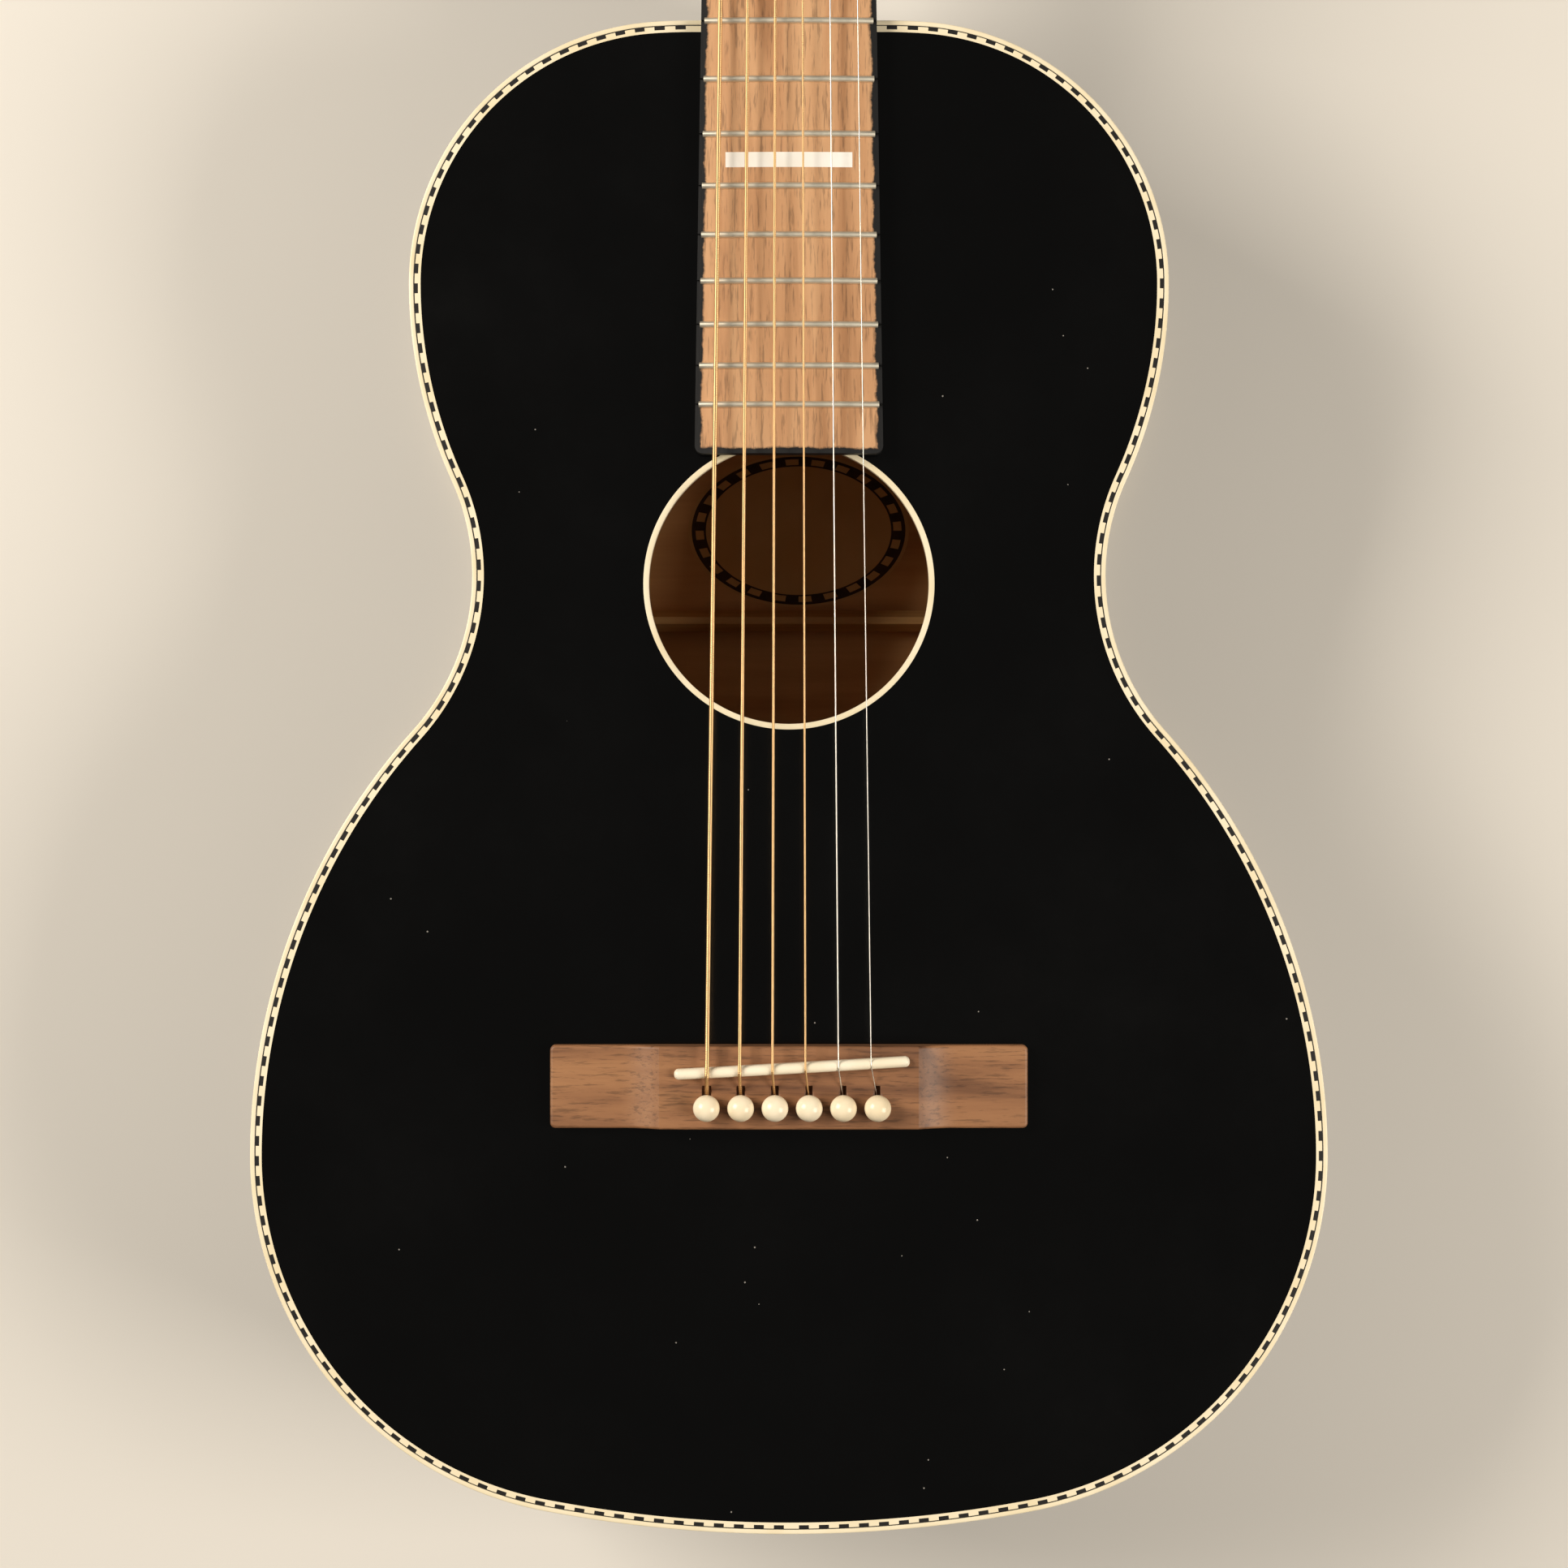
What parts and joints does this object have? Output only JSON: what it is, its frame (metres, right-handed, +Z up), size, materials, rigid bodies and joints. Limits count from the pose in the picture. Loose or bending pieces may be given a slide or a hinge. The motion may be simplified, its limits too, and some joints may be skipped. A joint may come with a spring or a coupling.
{
  "type": "acoustic guitar",
  "caption": "Flat-top steel-string acoustic guitar with a narrow-waisted body, round sound hole, pin bridge, twelve-fret neck joint and open-gear tuners on a solid headstock.",
  "frame": {"origin": "on the floor plane under the middle of the whole instrument, which lies on its flat back", "axes": "+Z up, out of the back towards the strings; +Y from the tail to the headstock; +X to the treble side"},
  "size_m": [0.3308, 0.959, 0.1163],
  "materials": {
    "black_spruce": "satin black lacquer over spruce",
    "black_hardwood": "black satin lacquer over hardwood",
    "pale_wood": "bare planed spruce and basswood",
    "maple": "bare planed maple",
    "cream_plastic": "scraped and polished cream plastic",
    "black_line": "black fibre strip",
    "checker": "checkered marquetry strip",
    "walnut": "oiled walnut",
    "walnut_board": "sanded walnut, edges sprayed black",
    "marker_white": "white plastic inlay",
    "bone": "polished bone substitute",
    "fret_wire": "nickel silver, polished crowns",
    "nickel": "nickel plate",
    "rod_steel": "plain steel",
    "brass": "machined brass",
    "bronze_wound": "bronze winding on a steel core",
    "plain_steel": "bright drawn wire",
    "paper": "aged printed paper, no words",
    "black_plastic": "black plastic"
  },
  "bodies": {
    "root": {"soundboard": "black_spruce", "soundhole_ring": "cream_plastic", "top_binding": "cream_plastic", "purfling_line": "black_line", "purfling_check": "checker", "purfling_inner": "cream_plastic", "back": "black_hardwood", "back_binding": "cream_plastic", "side_bass": "black_hardwood", "side_treble": "black_hardwood", "neck_block": "pale_wood", "tail_block": "pale_wood", "top_linings": "pale_wood", "back_linings": "pale_wood", "top_braces": "pale_wood", "back_braces": "pale_wood", "bridge_plate": "maple", "label": "paper", "fingerboard": "walnut_board", "frets": "fret_wire", "fret_markers": "marker_white", "neck": "black_hardwood", "heel_cap": "cream_plastic", "head_veneer": "black_hardwood", "nut": "bone", "truss_rod": "rod_steel", "truss_cover": "black_plastic", "headstock_screws": "nickel", "tuner_plates": "nickel", "post_bushings": "nickel", "bridge": "walnut", "saddle": "bone", "wound_strings": "bronze_wound", "plain_strings": "plain_steel", "end_pin": "cream_plastic"},
    "tuner_key_6": {"tuner_worm_6": "nickel", "tuner_button_6": "cream_plastic"},
    "post_6": {"string_post_6": "nickel"},
    "tuner_key_5": {"tuner_worm_5": "nickel", "tuner_button_5": "cream_plastic"},
    "post_5": {"string_post_5": "nickel"},
    "tuner_key_4": {"tuner_worm_4": "nickel", "tuner_button_4": "cream_plastic"},
    "post_4": {"string_post_4": "nickel"},
    "tuner_key_3": {"tuner_worm_3": "nickel", "tuner_button_3": "cream_plastic"},
    "post_3": {"string_post_3": "nickel"},
    "tuner_key_2": {"tuner_worm_2": "nickel", "tuner_button_2": "cream_plastic"},
    "post_2": {"string_post_2": "nickel"},
    "tuner_key_1": {"tuner_worm_1": "nickel", "tuner_button_1": "cream_plastic"},
    "post_1": {"string_post_1": "nickel"},
    "pin_6": {"bridge_pin_6": "cream_plastic"},
    "pin_5": {"bridge_pin_5": "cream_plastic"},
    "pin_4": {"bridge_pin_4": "cream_plastic"},
    "pin_3": {"bridge_pin_3": "cream_plastic"},
    "pin_2": {"bridge_pin_2": "cream_plastic"},
    "pin_1": {"bridge_pin_1": "cream_plastic"},
    "rod_nut": {"truss_nut": "brass"}
  },
  "joints": [
    {"name": "tuner_key_6_turn", "type": "hinge", "parent": "root", "child": "tuner_key_6", "pos_m": [-0.024, 0.34699, 0.05605], "axis": [-1, 0, 0], "continuous": true},
    {"name": "post_6_turn", "type": "hinge", "parent": "root", "child": "post_6", "pos_m": [-0.024, 0.35474, 0.05404], "axis": [0, -0.2521, -0.9677], "continuous": true},
    {"name": "tuner_key_5_turn", "type": "hinge", "parent": "root", "child": "tuner_key_5", "pos_m": [-0.024, 0.38377, 0.04647], "axis": [-1, 0, 0], "continuous": true},
    {"name": "post_5_turn", "type": "hinge", "parent": "root", "child": "post_5", "pos_m": [-0.024, 0.39151, 0.04446], "axis": [0, -0.2521, -0.9677], "continuous": true},
    {"name": "tuner_key_4_turn", "type": "hinge", "parent": "root", "child": "tuner_key_4", "pos_m": [-0.024, 0.42054, 0.03689], "axis": [-1, 0, 0], "continuous": true},
    {"name": "post_4_turn", "type": "hinge", "parent": "root", "child": "post_4", "pos_m": [-0.024, 0.42828, 0.03488], "axis": [0, -0.2521, -0.9677], "continuous": true},
    {"name": "tuner_key_3_turn", "type": "hinge", "parent": "root", "child": "tuner_key_3", "pos_m": [0.024, 0.42054, 0.03689], "axis": [-1, 0, 0], "continuous": true},
    {"name": "post_3_turn", "type": "hinge", "parent": "root", "child": "post_3", "pos_m": [0.024, 0.42828, 0.03488], "axis": [0, -0.2521, -0.9677], "continuous": true},
    {"name": "tuner_key_2_turn", "type": "hinge", "parent": "root", "child": "tuner_key_2", "pos_m": [0.024, 0.38377, 0.04647], "axis": [-1, 0, 0], "continuous": true},
    {"name": "post_2_turn", "type": "hinge", "parent": "root", "child": "post_2", "pos_m": [0.024, 0.39151, 0.04446], "axis": [0, -0.2521, -0.9677], "continuous": true},
    {"name": "tuner_key_1_turn", "type": "hinge", "parent": "root", "child": "tuner_key_1", "pos_m": [0.024, 0.34699, 0.05605], "axis": [-1, 0, 0], "continuous": true},
    {"name": "post_1_turn", "type": "hinge", "parent": "root", "child": "post_1", "pos_m": [0.024, 0.35474, 0.05404], "axis": [0, -0.2521, -0.9677], "continuous": true},
    {"name": "pin_6_lift", "type": "slide", "parent": "root", "child": "pin_6", "axis": [0, 0.028, 0.9996], "range_m": [0, 0.03]},
    {"name": "pin_5_lift", "type": "slide", "parent": "root", "child": "pin_5", "axis": [0, 0.028, 0.9996], "range_m": [0, 0.03]},
    {"name": "pin_4_lift", "type": "slide", "parent": "root", "child": "pin_4", "axis": [0, 0.028, 0.9996], "range_m": [0, 0.03]},
    {"name": "pin_3_lift", "type": "slide", "parent": "root", "child": "pin_3", "axis": [0, 0.028, 0.9996], "range_m": [0, 0.03]},
    {"name": "pin_2_lift", "type": "slide", "parent": "root", "child": "pin_2", "axis": [0, 0.028, 0.9996], "range_m": [0, 0.03]},
    {"name": "pin_1_lift", "type": "slide", "parent": "root", "child": "pin_1", "axis": [0, 0.028, 0.9996], "range_m": [0, 0.03]},
    {"name": "rod_nut_turn", "type": "hinge", "parent": "root", "child": "rod_nut", "pos_m": [0, 0.32465, 0.07661], "axis": [0, 0.9996, -0.028], "range_deg": [-360, 360]}
  ],
  "couplings": [
    {"joint": "post_6_turn", "follows": "tuner_key_6_turn", "ratio": -0.071429},
    {"joint": "post_5_turn", "follows": "tuner_key_5_turn", "ratio": -0.071429},
    {"joint": "post_4_turn", "follows": "tuner_key_4_turn", "ratio": -0.071429},
    {"joint": "post_3_turn", "follows": "tuner_key_3_turn", "ratio": -0.071429},
    {"joint": "post_2_turn", "follows": "tuner_key_2_turn", "ratio": -0.071429},
    {"joint": "post_1_turn", "follows": "tuner_key_1_turn", "ratio": -0.071429}
  ]
}
